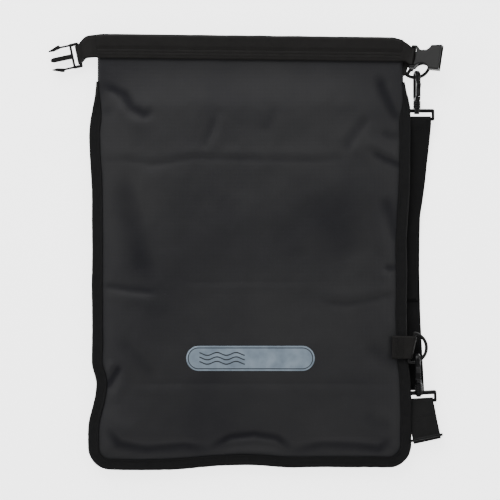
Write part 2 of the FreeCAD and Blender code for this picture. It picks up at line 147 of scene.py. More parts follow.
# Front and back panels. Two sheets of black tarpaulin, polyester scrim laminated with a matt coating, cut
# flat and held slack by the air between them, so they dome up from the bound edge and crease at old folds.
MM = 0.001
EDGE_LEFT = [
    (-229, -172), (-190, -172), (-139, -163.5), (-116, -168),
    (55, -168), (124, -171), (182, -163.6), (230, -163.4),
]
EDGE_RIGHT = [
    (-229, 170.4), (-158, 170.4), (-88, 165.6), (2, 165.6),
    (93, 169.3), (150, 169.3), (184, 163.4), (230, 162.6),
]
EDGE_BOTTOM = [(-172, -231), (-107, -231.4), (-6, -226), (42, -228.2), (172, -228.6)]
CORNER = 24.0
BASE_Y = -229
NECK_TOP = 227.5
SLOPE = -0.0122
SEAM_Z = 10.6
SEAM_HALF = 0.6
SEAM_INSET = 1.2
BINDING_W = 10.8
LAP = 2.0
FABRIC_T = 0.7


def along(table, t):
    """Smooth value of a short list of (place, value) stations."""
    if t <= table[0][0]:
        return table[0][1]
    for (a, p), (b, q) in zip(table, table[1:]):
        if t <= b:
            s = (t - a) / (b - a)
            return p + (q - p) * s * s * (3 - 2 * s)
    return table[-1][1]


def ease(a, b, t):
    """0 before a, 1 after b, smooth between them."""
    s = min(max((t - a) / (b - a), 0.0), 1.0)
    return s * s * (3 - 2 * s)


def hem(x):
    """Height of the bag's lower edge up the sheet, at a place across it."""
    return along(EDGE_BOTTOM, x)


def edge_distance(x, y):
    """How far a point of the bag is from its bound edge, rounded in the corners. The mouth isn't an edge."""
    low = y - hem(x)
    side = min(x - along(EDGE_LEFT, y), along(EDGE_RIGHT, y) - x)
    if low < CORNER and side < CORNER:
        return CORNER - math.hypot(CORNER - low, CORNER - side)
    return min(low, side)


# Each crease is a short run of points, with its width and its height, all in millimetres. A ridge has a
# positive height. The thick laminate rounds them off, so each is drawn wider by SPREAD and lower by FLATTEN.
SPREAD, FLATTEN = 1.2, 0.82
REACH = 3
END_RISE, END_LEAST = 4.5, 0.12
CREASES = [
    ([(-161, 180), (-146, 172), (-134, 166), (-126, 152), (-113, 145), (-102, 150)], 4.6, -2.6),
    ([(-160, 168), (-146, 163), (-138, 152), (-124, 138), (-108, 138)], 6.5, 1.7),
    ([(-158, 146), (-148, 152), (-140, 166)], 6.0, -1.0),
    ([(-165, 97), (-132, 98), (-104, 92), (-60, 100), (0, 98), (70, 97), (108, 99)], 3.0, -1.0),
    ([(-165, 104), (-132, 105), (-104, 101), (-60, 107), (0, 105), (70, 104), (108, 106)], 6.0, 0.8),
    ([(124, 110), (142, 99), (153, 95), (166, 90)], 3.8, -2.6),
    ([(120, 118), (142, 107), (166, 100)], 6.0, 1.9),
    ([(134, 190), (141, 170), (151, 150), (158, 138)], 5.0, -2.2),
    ([(150, 186), (156, 166), (162, 146)], 4.0, 1.7),
    ([(127, 146), (112, 124), (98, 104)], 6.0, -1.3),
    ([(136, 140), (122, 120), (108, 102)], 8.0, 1.1),
    ([(160, 124), (148, 122), (136, 128)], 4.0, -1.2),
    ([(-36, 146), (-43, 124), (-50, 106)], 4.5, -1.0),
    ([(-26, 148), (-33, 126), (-40, 108)], 7.0, 0.9),
    ([(28, 156), (22, 140), (10, 126)], 6.0, -0.7),
    ([(-112, 104), (-106, 70), (-92, 20), (-80, -30)], 11.0, 1.5),
    ([(-136, 88), (-130, 50), (-120, 0), (-104, -36)], 13.0, -1.5),
    ([(-75, -31), (-40, -33), (6, -32), (81, -33)], 2.2, -0.45),
    ([(-75, -36), (-40, -38), (6, -37), (81, -38)], 4.0, 0.35),
    ([(-162, -35), (-130, -40), (-96, -44)], 3.4, -1.4),
    ([(-162, -44), (-130, -49), (-100, -51)], 5.5, 0.9),
    ([(72, -51), (100, -55), (130, -50), (161, -40)], 3.6, -1.3),
    ([(76, -44), (104, -47), (134, -42), (162, -31)], 6.0, 0.9),
    ([(140, 60), (149, 36), (156, 8)], 6.5, -1.5),
    ([(130, 40), (139, 18), (146, -6)], 8.0, 0.9),
    ([(163, -10), (152, -18), (140, -17)], 3.4, -2.0),
    ([(163, -19), (150, -26), (136, -25)], 4.5, 1.5),
    ([(-163, -146), (-150, -140), (-143, -128), (-138, -120)], 3.6, -3.0),
    ([(-163, -134), (-151, -127), (-146, -116)], 5.5, 2.0),
    ([(-160, -152), (-144, -150), (-133, -136)], 6.0, 1.5),
    ([(-140, -92), (-116, -112), (-96, -138)], 9.0, -1.0),
    ([(-130, -88), (-106, -106), (-84, -134)], 9.0, 0.8),
    ([(-130, -140), (-80, -139), (20, -139), (100, -139), (160, -141)], 2.8, -0.6),
    ([(-130, -147), (-80, -146), (20, -146), (100, -146), (160, -149)], 5.5, 0.6),
    ([(120, -96), (142, -112), (160, -120)], 7.0, -1.0),
    ([(60, 60), (92, 30), (104, -10)], 22.0, -1.0),
    ([(-20, 60), (10, 10), (20, -60)], 26.0, 0.9),
    ([(-152, -186), (-140, -203), (-110, -208), (-70, -204), (-44, -210)], 4.2, -2.2),
    ([(-148, -170), (-120, -193), (-80, -194), (-48, -196)], 8.0, 1.3),
    ([(-44, -207), (-22, -196), (4, -193), (28, -197), (44, -208)], 3.6, -2.4),
    ([(-34, -215), (-16, -206), (4, -203), (22, -206), (36, -215)], 5.0, 1.8),
    ([(44, -210), (76, -203), (110, -204), (136, -208), (150, -196)], 4.2, -2.0),
    ([(56, -196), (90, -192), (126, -195)], 8.0, 1.1),
    ([(118, -170), (134, -182), (150, -186)], 7.0, -0.9),
]


def crease_height(x, y):
    """Sum of the creases at a point: each is a rounded ridge or valley that fades out at both ends."""
    total = 0.0
    for points, width, height in CREASES:
        width, height = width * SPREAD, height * FLATTEN
        near, share = math.inf, 0.0
        count = len(points) - 1
        for i in range(count):
            ax, ay = points[i]
            bx, by = points[i + 1]
            if min(ax, bx) - REACH * width > x or max(ax, bx) + REACH * width < x:
                continue
            if min(ay, by) - REACH * width > y or max(ay, by) + REACH * width < y:
                continue
            dx, dy = bx - ax, by - ay
            s = ((x - ax) * dx + (y - ay) * dy) / (dx * dx + dy * dy)
            s = min(max(s, 0.0), 1.0)
            gap = math.hypot(x - ax - s * dx, y - ay - s * dy)
            if gap < near:
                near, share = gap, (i + s) / count
        if near < REACH * width:
            ends = min(1.0, END_RISE * min(share, 1 - share) + END_LEAST)
            total += height * ends * math.exp(-(near / width) ** 2)
    return total


# The dome: a quick rise within SHOULDER of the tape, a slow one within SPAN of the hem, less near the neck.
DOME, SHOULDER = 11.4, 17.0
AIR, SPAN = 2.6, 60.0
NECK_LOSS = 0.45
WANDER, RIPPLE = 1.5, 0.32
MOUTH_EDGE, MOUTH_FRONT, MOUTH_BACK = (0.6, 2.4), (9.2, 3.3), (8.0, 3.4)
TURN_UP, TURN_POWER = 11.0, 1.3


def front_height(x, y):
    """Height of the front panel's outer face."""
    d = edge_distance(x, y)
    low = y - hem(x)
    rise = DOME * (1 - math.exp(-max(d - BINDING_W + LAP, 0.0) / SHOULDER))
    rise += AIR * (1 - math.exp(-max(low - BINDING_W, 0.0) / SPAN)) * ease(8, 60, d)
    rise *= 1 - NECK_LOSS * ease(60, 190, y)
    body = SEAM_Z + SEAM_HALF + rise
    inside = ease(BINDING_W - 1.5, BINDING_W + 9, d)
    wander = noise.fractal(Vector((x * 0.016, y * 0.013, 3.1)), 1.0, 2.0, 3) * WANDER
    small = noise.fractal(Vector((x * 0.06, y * 0.05, 8.4)), 0.8, 2.0, 2) * RIPPLE
    body += (crease_height(x, y) + wander + small) * inside * (1 - ease(186, 200, y))
    collar = MOUTH_FRONT[0] + MOUTH_FRONT[1] * ease(*MOUTH_EDGE, d)
    return body + (collar - body) * ease(150, 196, y)


def back_height(x, y):
    """Height of the back panel's outer face: flat on the ground inside a rounded turn-up to the seam."""
    d = edge_distance(x, y)
    fall = (SEAM_Z - SEAM_HALF) * (1 - math.exp(-(max(d - BINDING_W + LAP, 0.0) / TURN_UP) ** TURN_POWER))
    body = SEAM_Z - SEAM_HALF - fall
    collar = MOUTH_BACK[0] - MOUTH_BACK[1] * ease(*MOUTH_EDGE, d)
    return body + (collar - body) * ease(165, 200, y)


def panel(name, height, surface):
    """One fabric panel: a fine grid laid out inside the bag's outline and lifted to its height. Its folds
    attribute holds how high each crease stands, which the painted shade in the valleys and the paler ridges
    follow."""
    columns, rows, turn_rows = 150, 186, 12
    bm = bmesh.new()
    bmesh.ops.create_grid(bm, x_segments=columns, y_segments=rows, size=1.0)
    folds = bm.verts.layers.float.new("folds")
    for v in bm.verts:
        u, row = v.co.x, round((v.co.y + 1) / 2 * rows)
        if row < turn_rows:
            angle = row / turn_rows * math.pi / 2
            y = CORNER * (1 - math.cos(angle)) + BASE_Y
            inset = CORNER * (1 - math.sin(angle))
        else:
            straight = NECK_TOP - BASE_Y - CORNER
            y = BASE_Y + CORNER + straight * (row - turn_rows) / (rows - turn_rows)
            inset = 0.0
        left = along(EDGE_LEFT, y) + inset + SEAM_INSET
        right = along(EDGE_RIGHT, y) - inset - SEAM_INSET
        x = left + (right - left) * (u + 1) / 2
        y += (hem(x) - BASE_Y + SEAM_INSET) * (1 - ease(BASE_Y, -170, y))
        top = NECK_TOP + SLOPE * x
        y += (top - NECK_TOP) * ease(150, 226, y)
        v.co = Vector((x, y, height(x, y))) * MM
        v[folds] = crease_height(x, y) if height is front_height else 0.0
    if height is back_height:
        bmesh.ops.reverse_faces(bm, faces=bm.faces)
    made = finish_mesh(bm, name, surface)
    skin = made.modifiers.new("skin", "SOLIDIFY")
    skin.thickness = FABRIC_T * MM
    skin.offset = -1.0
    return made


# Matt laminated tarpaulin: the coating hides most of the scrim, so the eye gets a dull grey-black with a
# soft broad sheen, pale specks and rub marks. Real scrim is about 1.1 mm apart, and is drawn at 4.5 mm so
# that it shows.
CLOUD = 7.0  # patches of 140 mm
DUST = 900.0  # specks of 1.1 mm
SCRIM = 70.0  # bands 4.5 mm apart
COAT = 1400.0  # grain of 0.7 mm, coarser than the real one
tarpaulin, tree, main = material("matt_tarpaulin", Roughness=0.62, Specular_IOR_Level=0.2)
main.inputs["Sheen Weight"].default_value = 0.03
main.inputs["Sheen Roughness"].default_value = 0.4
place = add(tree, "ShaderNodeTexCoord").outputs["Object"]
cloud = add(tree, "ShaderNodeTexNoise", Vector=place, Scale=CLOUD, Detail=4.0, Roughness=0.55)
dust = add(tree, "ShaderNodeTexNoise", Vector=place, Scale=DUST, Detail=2.0)
tone = add(tree, "ShaderNodeValToRGB", Fac=cloud.outputs["Fac"])
tone.color_ramp.elements[0].position, tone.color_ramp.elements[1].position = 0.32, 0.68
tone.color_ramp.elements[0].color = linear("#18181b")
tone.color_ramp.elements[1].color = linear("#232324")
speck = add(tree, "ShaderNodeMapRange", Value=dust.outputs["Fac"], From_Min=0.62, From_Max=0.8, To_Max=0.35)
pale = add(tree, "ShaderNodeMix", {"data_type": "RGBA"}, _0=speck.outputs["Result"])
tree.links.new(tone.outputs["Color"], pale.inputs["A"])
pale.inputs["B"].default_value = linear("#353538")
# Painted shade: the crease valleys are painted a bluish dark and their specular level is lowered with it. The
# ridges are a little paler.
folds = add(tree, "ShaderNodeAttribute", {"attribute_name": "folds"}).outputs["Fac"]
valley = add(tree, "ShaderNodeMapRange", Value=folds, From_Min=-0.15, From_Max=-2.0, To_Max=0.42)
painted_valley_shade = add(tree, "ShaderNodeMix", {"data_type": "RGBA"}, _0=valley.outputs["Result"])
tree.links.new(pale.outputs["Result"], painted_valley_shade.inputs["A"])
painted_valley_shade.inputs["B"].default_value = linear("#0e0e15")
dull = add(tree, "ShaderNodeMapRange", Value=folds, From_Min=-0.1, From_Max=-1.6, To_Min=0.2, To_Max=0.09)
tree.links.new(dull.outputs["Result"], main.inputs["Specular IOR Level"])
ridge = add(tree, "ShaderNodeMapRange", Value=folds, From_Min=0.2, From_Max=2.0, To_Max=0.15)
paler_ridges = add(tree, "ShaderNodeMix", {"data_type": "RGBA"}, _0=ridge.outputs["Result"])
tree.links.new(painted_valley_shade.outputs["Result"], paler_ridges.inputs["A"])
paler_ridges.inputs["B"].default_value = linear("#2a2a2b")
tree.links.new(paler_ridges.outputs["Result"], main.inputs["Base Color"])
warp = add(tree, "ShaderNodeTexWave", {"bands_direction": "X"}, Vector=place, Scale=SCRIM, Distortion=0.3)
weft = add(tree, "ShaderNodeTexWave", {"bands_direction": "Y"}, Vector=place, Scale=SCRIM, Distortion=0.3)
scrim = add(tree, "ShaderNodeMath", _0=warp.outputs["Fac"], _1=weft.outputs["Fac"])
coat = add(tree, "ShaderNodeTexNoise", Vector=place, Scale=COAT, Detail=3.0)
coat_bump = add(tree, "ShaderNodeBump", Strength=0.22, Distance=0.0002, Height=coat.outputs["Fac"])
scrim_bump = add(
    tree, "ShaderNodeBump", Strength=0.1, Distance=0.0002,
    Height=scrim.outputs["Value"], Normal=coat_bump.outputs["Normal"],
)
tree.links.new(scrim_bump.outputs["Normal"], main.inputs["Normal"])
rub = add(tree, "ShaderNodeMapRange", Value=cloud.outputs["Fac"], To_Min=0.56, To_Max=0.68)
tree.links.new(rub.outputs["Result"], main.inputs["Roughness"])

front = panel("front_panel_fabric", front_height, tarpaulin)
back = panel("back_panel_fabric", back_height, tarpaulin)
for piece, nodes in ((front, ("front_panel", "neck_front")), (back, ("back_panel", "neck_back"))):
    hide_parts(*nodes)
    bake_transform(piece)


# Edge binding. A woven polyester tape folded over the raw edges of both panels and lockstitched through, all
# round the bag below the neck. It puckers a little between stitches and stands proud of the fabric.
TAPE_THICK = 0.8
PITCH = 2.0
TAPE_TOP = 181
CORNER_TOP = -206
CORNER_STEPS = 15
BEND_SHARE = 0.22
BEND_IN, BEND_UP = 1.5, 1.6
TAPER = 9.4


def edge_path():
    """Points along the bag's edge, from the left of the neck round the bottom to the right, evenly spaced."""
    raw = [(along(EDGE_LEFT, TAPE_TOP - i), TAPE_TOP - i) for i in range(int(TAPE_TOP - BASE_Y - CORNER))]
    left, right = along(EDGE_LEFT, CORNER_TOP), along(EDGE_RIGHT, CORNER_TOP)
    low_left, low_right = hem(left + CORNER), hem(right - CORNER)
    for i in range(CORNER_STEPS + 1):
        a = i / CORNER_STEPS * math.pi / 2
        raw.append((left + CORNER * (1 - math.cos(a)), low_left + CORNER * (1 - math.sin(a))))
    raw += [(left + CORNER + i, hem(left + CORNER + i)) for i in range(1, int(right - left - 2 * CORNER))]
    for i in range(CORNER_STEPS + 1):
        a = i / CORNER_STEPS * math.pi / 2
        raw.append((right - CORNER * (1 - math.sin(a)), low_right + CORNER * (1 - math.cos(a))))
    raw += [(along(EDGE_RIGHT, y), y) for y in range(int(low_right + CORNER) + 1, TAPE_TOP + 1)]
    spaced, carry = [Vector(raw[0])], 0.0
    for p, q in zip(raw, raw[1:]):
        p, q = Vector(p), Vector(q)
        length = (q - p).length
        while carry + length >= PITCH and length > 0:
            p = p.lerp(q, (PITCH - carry) / length)
            spaced.append(p)
            length, carry = (q - p).length, 0.0
        carry += length
    return spaced


EDGE = edge_path()


def edge_frame(i):
    """An edge point and the inward direction there."""
    a, b = EDGE[max(i - 4, 0)], EDGE[min(i + 4, len(EDGE) - 1)]
    run = (b - a).normalized()
    return EDGE[i], Vector((-run.y, run.x))


def tape_point(i, s):
    """Point of the tape's outer face: s is -1 at the back hem, 0 at the bag's edge and 1 at the front hem."""
    spot, inward = edge_frame(i)
    width = BINDING_W + 0.5 * noise.noise(Vector((i * 0.09, 2.0, 0)))
    width -= TAPER * ease(138, 182, spot.y)
    sway = 0.6 * noise.noise(Vector((i * 0.05, 7.0, 0))) + 0.25 * noise.noise(Vector((i * 0.32, 4.0, 0)))
    if abs(s) < BEND_SHARE:
        a = s / BEND_SHARE * math.pi / 2
        d, up = BEND_IN * (1 - math.cos(a)), BEND_UP * math.sin(a)
    else:
        d = BEND_IN + (width - BEND_IN) * (abs(s) - BEND_SHARE) / (1 - BEND_SHARE)
        up = math.copysign(BEND_UP, s)
    x, y = spot + inward * (d + 0.4 + sway * (1 - 0.5 * abs(s)))
    pucker = 0.28 * noise.noise(Vector((i * 0.55, s * 2.0, 1.0))) + 0.12 * math.sin(i * 1.3)
    if s > 0:
        face = front_height(x, y) + 0.75 + pucker * ease(0.1, 0.6, s)
        face -= 0.5 * ease(0.86, 1.0, s)
        lift = ease(0.0, BEND_SHARE, s)
        z = (SEAM_Z + up) * (1 - lift) + face * lift if s < BEND_SHARE else face
    else:
        face = max(back_height(x, y) - 0.8 + pucker * 0.4, 0.25)
        lift = ease(0.0, BEND_SHARE, -s)
        z = (SEAM_Z + up) * (1 - lift) + face * lift
    return Vector((x, y, z)) * MM


def laid_grid(name, surface, place, across, long, thick, size, offset):
    """A strip of cloth: a grid whose points are placed one by one, with a UV map in millimetres. The offset
    is -1 where the points are on the outer face, and 0 where they are in the middle of the cloth."""
    bm = bmesh.new()
    bmesh.ops.create_grid(bm, x_segments=across, y_segments=long, size=1.0)
    uv = bm.loops.layers.uv.new("cloth")
    for face in bm.faces:
        for loop in face.loops:
            at = loop.vert.co
            loop[uv].uv = ((at.y + 1) / 2 * size[1], (at.x + 1) / 2 * size[0])
    for v in bm.verts:
        v.co = place(v.co.x, (v.co.y + 1) / 2)
    made = finish_mesh(bm, name, surface)
    skin = made.modifiers.new("skin", "SOLIDIFY")
    skin.thickness = thick * MM
    skin.offset = offset
    return made


WEAR, FIBRE = 0.11, 6.0  # patches of 9 mm, and fibres of 0.2 mm


def woven(name, dark, light, rib, pick, rough, strength):
    """Woven webbing on its own UV map in millimetres: rib is the length of one rib and pick is its width,
    drawn coarse enough to show, and every second pick is shifted by half a rib."""
    made, tree, main = material(name, Roughness=rough, Specular_IOR_Level=0.12)
    main.inputs["Sheen Weight"].default_value = 0.008
    main.inputs["Sheen Roughness"].default_value = 0.5
    uv = add(tree, "ShaderNodeUVMap", {"uv_map": "cloth"}).outputs["UV"]
    cut = add(tree, "ShaderNodeSeparateXYZ", Vector=uv)
    ahead = add(tree, "ShaderNodeMath", {"operation": "MULTIPLY"}, _0=cut.outputs["X"], _1=math.tau / rib)
    over = add(tree, "ShaderNodeMath", {"operation": "MULTIPLY"}, _0=cut.outputs["Y"], _1=math.tau / pick)
    half = add(tree, "ShaderNodeMath", {"operation": "MULTIPLY"}, _0=cut.outputs["Y"], _1=math.pi / pick)
    step = add(tree, "ShaderNodeMath", {"operation": "SINE"}, _0=half.outputs["Value"])
    sign = add(tree, "ShaderNodeMath", {"operation": "SIGN"}, _0=step.outputs["Value"])
    shift = add(
        tree, "ShaderNodeMath", {"operation": "MULTIPLY_ADD"}, _0=sign.outputs["Value"], _1=math.pi / 2
    )
    tree.links.new(ahead.outputs["Value"], shift.inputs[2])
    warp = add(tree, "ShaderNodeMath", {"operation": "SINE"}, _0=shift.outputs["Value"])
    weft = add(tree, "ShaderNodeMath", {"operation": "COSINE"}, _0=over.outputs["Value"])
    weave = add(tree, "ShaderNodeMath", {"operation": "MULTIPLY_ADD"}, _0=weft.outputs["Value"], _1=-0.6)
    tree.links.new(warp.outputs["Value"], weave.inputs[2])
    wear = add(tree, "ShaderNodeTexNoise", Vector=uv, Scale=WEAR, Detail=4.0, Roughness=0.6)
    fibre = add(tree, "ShaderNodeTexNoise", Vector=uv, Scale=FIBRE, Detail=3.0)
    high = weave.outputs["Value"]
    level = add(tree, "ShaderNodeMapRange", Value=high, From_Min=-1.6, From_Max=1.6, To_Max=0.7)
    mixed = add(tree, "ShaderNodeMath", {"operation": "MULTIPLY_ADD"}, _0=wear.outputs["Fac"], _1=0.6)
    tree.links.new(level.outputs["Result"], mixed.inputs[2])
    tone = add(tree, "ShaderNodeValToRGB", Fac=mixed.outputs["Value"])
    tone.color_ramp.elements[0].position, tone.color_ramp.elements[1].position = 0.15, 1.0
    tone.color_ramp.elements[0].color = linear(dark)
    tone.color_ramp.elements[1].color = linear(light)
    tree.links.new(tone.outputs["Color"], main.inputs["Base Color"])
    fuzz = add(tree, "ShaderNodeBump", Strength=0.25, Distance=0.0001, Height=fibre.outputs["Fac"])
    ribs = add(
        tree, "ShaderNodeBump", Strength=strength, Distance=0.00018,
        Height=high, Normal=fuzz.outputs["Normal"],
    )
    tree.links.new(ribs.outputs["Normal"], main.inputs["Normal"])
    return made


# Black polyester tape, plain woven on a narrow loom: a fine even rib that leaves it dull, with a little fuzz.
binding_tape = woven("woven_binding_tape", "#090909", "#151516", 0.9, 0.7, rough=0.72, strength=0.5)
COUNT = len(EDGE) - 1
TAPE_COLUMNS = 22
binding = laid_grid(
    "edge_binding_tape", binding_tape, lambda u, t: tape_point(round(t * COUNT), u),
    TAPE_COLUMNS, COUNT, TAPE_THICK, (2 * BINDING_W, COUNT * PITCH), -1.0,
)
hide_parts("edge_binding", "seam_tape")
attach(binding, "bag")

# Bonded polyester thread, one shade lighter than the cloth so that the rows show, with a twisted-ply bump.
THREAD_W, THREAD_H = 0.32, 0.26
PROUD, HEM_PROUD = 0.1, 0.05
PLY = 260.0  # a twist every 2.4 mm along an axis, coarser than the real one
thread, tree, main = material("bonded_thread", Roughness=0.6, Specular_IOR_Level=0.15)
place = add(tree, "ShaderNodeTexCoord").outputs["Object"]
ply = add(
    tree, "ShaderNodeTexWave", {"bands_direction": "DIAGONAL"}, Vector=place, Scale=PLY, Distortion=1.0
)
tone = add(tree, "ShaderNodeMapRange", Value=ply.outputs["Fac"], To_Min=0.003, To_Max=0.011)
tree.links.new(tone.outputs["Result"], main.inputs["Base Color"])
ply_bump = add(tree, "ShaderNodeBump", Strength=0.4, Distance=0.0001, Height=ply.outputs["Fac"])
tree.links.new(ply_bump.outputs["Normal"], main.inputs["Normal"])


def stitches(name, rows, body):
    """Rows of lockstitches: each row is a list of (start, end) points, each stitch a low bead of thread."""
    bm = bmesh.new()
    for a, b in rows:
        run = b - a
        turn = run.to_track_quat("X", "Z").to_matrix().to_4x4()
        grow = Matrix.Diagonal((run.length * 0.5, THREAD_W * MM, THREAD_H * MM, 1.0))
        bmesh.ops.create_icosphere(
            bm, subdivisions=1, radius=1.0, matrix=Matrix.Translation((a + b) / 2) @ turn @ grow
        )
    made = finish_mesh(bm, name, thread)
    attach(made, body)
    return made


def stitch_row(points, length, gap):
    """Cuts a line of points into stitches of a length, with a gap after each."""
    out, start, used = [], points[0], 0.0
    for p, q in zip(points, points[1:]):
        used += (q - p).length
        if used >= (length + gap) * MM:
            out.append((start, start.lerp(q, length / (length + gap))))
            start, used = q, 0.0
    return out


hem_rows = []
for s, side in ((0.72, 1), (-0.72, -1)):
    line = [tape_point(i, s) + Vector((0, 0, HEM_PROUD * MM * side)) for i in range(3, COUNT - 2)]
    hem_rows += stitch_row(line, 3.2, 0.8)
hem_stitches = stitches("hem_stitching", hem_rows, "bag")

# Reflective mark. A die-cut silver transfer film pressed on the front: fine glass-bead grain, a thin dark
# border line just inside its edge, and three plain wave lines at one end.
MARK_HALF, MARK_R, MARK_Y = 68.0, 13.2, -112.4
MARK_LIFT, MARK_T = 0.16, 0.12
# Millimetres, but for the wave's rate in radians a millimetre. The lines are two gaps apart.
RIM_IN, RIM_HALF = 2.2, 0.45
WAVE_RATE, WAVE_HIGH, WAVE_GAP, WAVE_HALF = 0.31, 1.5, 2.35, 0.62
WAVES_DOWN, WAVES_AT, WAVES_HALF = 6.2, 30.0, 24.0
SOFT_EDGE = 0.12
BEADS, TINT = 3.2, 0.07  # glass beads of 0.3 mm, and patches of 14 mm
film, tree, main = material("reflective_film", Roughness=0.38, Metallic=0.35)
uv = add(tree, "ShaderNodeUVMap", {"uv_map": "cloth"}).outputs["UV"]
cut = add(tree, "ShaderNodeSeparateXYZ", Vector=uv)


def sums(operation, a, b=0.0):
    """One arithmetic node."""
    return add(tree, "ShaderNodeMath", {"operation": operation}, _0=a, _1=b).outputs["Value"]


def band(value, width):
    """1 where a value is within a width of 0, with a soft edge."""
    return add(
        tree, "ShaderNodeMapRange", Value=sums("ABSOLUTE", value),
        From_Min=width - SOFT_EDGE, From_Max=width + SOFT_EDGE, To_Min=1.0, To_Max=0.0,
    ).outputs["Result"]


mx, my = cut.outputs["X"], cut.outputs["Y"]
reach = sums("MAXIMUM", sums("SUBTRACT", sums("ABSOLUTE", mx), MARK_HALF - MARK_R), 0.0)
rim = sums("SQRT", sums("ADD", sums("POWER", reach, 2.0), sums("POWER", my, 2.0)))
border = band(sums("SUBTRACT", rim, MARK_R - RIM_IN), RIM_HALF)
swing = sums("MULTIPLY", sums("SINE", sums("MULTIPLY", mx, WAVE_RATE)), WAVE_HIGH)
wave = sums("SUBTRACT", my, swing)
repeat = sums("PINGPONG", sums("ADD", wave, WAVE_GAP), WAVE_GAP)
three = band(sums("SUBTRACT", repeat, WAVE_GAP), WAVE_HALF)
window = sums("MULTIPLY", band(wave, WAVES_DOWN), band(sums("ADD", mx, WAVES_AT), WAVES_HALF))
ink = sums("MAXIMUM", border, sums("MULTIPLY", three, window))
beads = add(tree, "ShaderNodeTexVoronoi", Vector=uv, Scale=BEADS)
tint = add(tree, "ShaderNodeTexNoise", Vector=uv, Scale=TINT, Detail=3.0)
silver = add(tree, "ShaderNodeValToRGB", Fac=tint.outputs["Fac"])
silver.color_ramp.elements[0].position, silver.color_ramp.elements[1].position = 0.3, 0.7
silver.color_ramp.elements[0].color = linear("#6c7a87")
silver.color_ramp.elements[1].color = linear("#8795a2")
printed = add(tree, "ShaderNodeMix", {"data_type": "RGBA"}, _0=ink)
tree.links.new(silver.outputs["Color"], printed.inputs["A"])
printed.inputs["B"].default_value = linear("#1d1f22")
tree.links.new(printed.outputs["Result"], main.inputs["Base Color"])
bead_bump = add(tree, "ShaderNodeBump", Strength=0.2, Distance=0.00005, Height=beads.outputs["Distance"])
tree.links.new(bead_bump.outputs["Normal"], main.inputs["Normal"])

bm = bmesh.new()
bmesh.ops.create_grid(bm, x_segments=96, y_segments=28, size=1.0)
layer = bm.loops.layers.uv.new("cloth")
for v in bm.verts:
    lean = v.co.y * math.pi / 2
    half = MARK_HALF - MARK_R + MARK_R * math.cos(lean)
    v.co = Vector((v.co.x * half, MARK_R * math.sin(lean), 0))
for face in bm.faces:
    for loop in face.loops:
        loop[layer].uv = (loop.vert.co.x, loop.vert.co.y)
for v in bm.verts:
    x, y = v.co.x, v.co.y + MARK_Y
    v.co = Vector((x, y, front_height(x, y) + MARK_LIFT)) * MM
mark = finish_mesh(bm, "reflective_mark_film", film)
skin = mark.modifiers.new("skin", "SOLIDIFY")
skin.thickness = MARK_T * MM
skin.offset = -1.0
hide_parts("reflective_mark")
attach(mark, "bag")

# Collar. Stiffened webbing sewn along both sides of the mouth: a smooth upper half over the plastic stay,
# and a lower half with rows of lockstitch. The back band stands a little above the front one.
COLLAR_Y, COLLAR_W = 204.0, 25.0
COLLAR_L, COLLAR_R = -163.0, 161.5
COLLAR_T = 1.1
STAY_Y, STAY_RISE = 11.5, 0.55
STITCH_Y = (2.6, 6.0, 9.4)
FACE_Z, REAR_Z, REAR_PEEK = 14.6, 3.4, 0.9


def band_height(v, x):
    """Outer face of the front band, v above its lower edge: rolled edges, the stay's bulge, and a channel
    for each row of stitches."""
    z = FACE_Z + STAY_RISE * ease(STAY_Y - 1, STAY_Y + 2.5, v) - 1.6 * ease(COLLAR_W - 2.6, COLLAR_W, v) ** 2
    z -= 0.7 * (1 - ease(0, 1.8, v))
    for row in STITCH_Y:
        z -= 0.28 * math.exp(-((v - row) / 0.7) ** 2)
    slack = 0.35 * noise.noise(Vector((x * 0.035, v * 0.05, 5.0)))
    return z + (slack + 0.1 * noise.noise(Vector((x * 0.3, v * 0.3, 9.0))))


def front_band(u, t):
    """Point of the front band: u runs from -1 at its lower edge to 1, and t from left to right."""
    x = COLLAR_L + (COLLAR_R - COLLAR_L) * t
    v = (u + 1) / 2 * COLLAR_W
    sway = 0.35 * noise.noise(Vector((x * 0.05, 1.0, 0)))
    taper = 1 - 0.1 * ease(150, COLLAR_R, x) - 0.03 * ease(155, -COLLAR_L, -x)
    drop = 0.5 * (ease(158, COLLAR_R, x) + ease(159, -COLLAR_L, -x))
    y = COLLAR_Y + SLOPE * x + v * taper + sway
    return Vector((x, y, band_height(v, x) - drop)) * MM


def back_band(u, t):
    """Point of the back band, which runs the other way so that its outer face is below."""
    x = COLLAR_L + (COLLAR_R - COLLAR_L) * (1 - t)
    v = (u + 1) / 2 * COLLAR_W + REAR_PEEK
    sway = 0.4 * noise.noise(Vector((x * 0.05, 6.0, 0)))
    lift = 0.25 * noise.noise(Vector((x * 0.03, v * 0.05, 2.0)))
    drop = 3.6 * ease(148, COLLAR_R, x) + 1.2 * ease(154, -COLLAR_L, -x)
    y = COLLAR_Y + SLOPE * x + v - drop * (u + 1) / 2 + sway
    return Vector((x, y, REAR_Z + lift)) * MM


# Black polypropylene webbing, pressed flat in the weaving: a low, close rib and a slightly waxy look.
collar_webbing = woven("collar_webbing", "#0d0c0c", "#1b1a19", 1.1, 0.9, rough=0.62, strength=0.35)
COLLAR_SIZE = (COLLAR_W, 325)
band_front = laid_grid(
    "collar_front_band", collar_webbing, front_band, 40, 200, COLLAR_T, COLLAR_SIZE, -1.0
)
band_back = laid_grid(
    "collar_rear_band", collar_webbing, back_band, 16, 160, COLLAR_T, COLLAR_SIZE, -1.0
)
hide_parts("collar_band_front", "collar_stiffener")
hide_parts("collar_band_back")
for piece in (band_front, band_back):
    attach(piece, "collar")
ROW_POINTS, ROW_ENDS = 800, (6, 795)


def collar_row(u):
    """One stitch row along the front band, raised off its face."""
    spots = [front_band(u, i / ROW_POINTS) for i in range(*ROW_ENDS)]
    return stitch_row([spot + Vector((0, 0, PROUD * MM)) for spot in spots], 2.6, 0.7)


